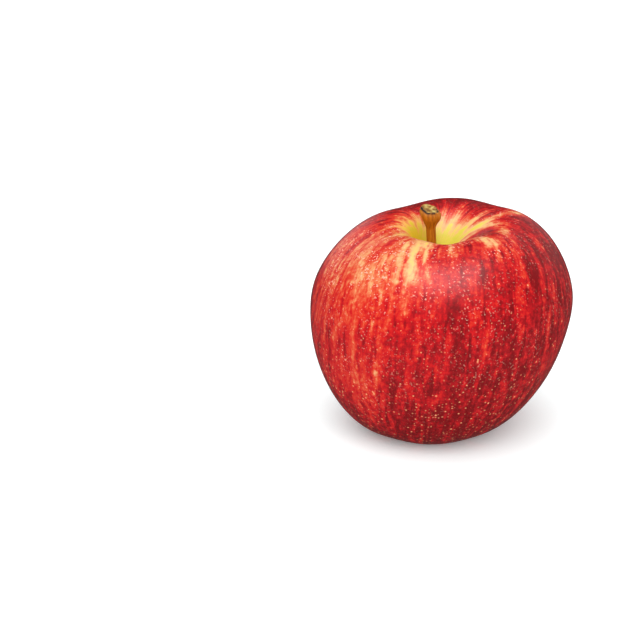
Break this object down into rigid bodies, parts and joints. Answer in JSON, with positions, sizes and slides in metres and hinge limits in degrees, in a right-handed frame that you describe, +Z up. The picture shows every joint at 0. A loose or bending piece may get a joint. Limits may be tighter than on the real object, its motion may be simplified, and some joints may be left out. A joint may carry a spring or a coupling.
{
  "type": "red apple",
  "caption": "Whole red dessert apple with a lobed shoulder, a woody stem in the cavity at its top and a dry calyx in the basin it stands over.",
  "frame": {"origin": "on the surface that the apple stands on, under the middle of its outline seen from above", "axes": "+Z up from the calyx to the stem, -Y towards the palest side of the skin, +X towards the higher side of the shoulder"},
  "size_m": [0.0782, 0.078, 0.0686],
  "materials": {
    "skin": "smooth waxy skin, red stripes over yellow, with pale dots",
    "bark": "dry matt bark with a paler cut end",
    "dry_sepal": "dry, matt and papery"
  },
  "bodies": {
    "root": {"fruit": "skin", "stem": "bark", "calyx": "dry_sepal"}
  },
  "joints": []
}
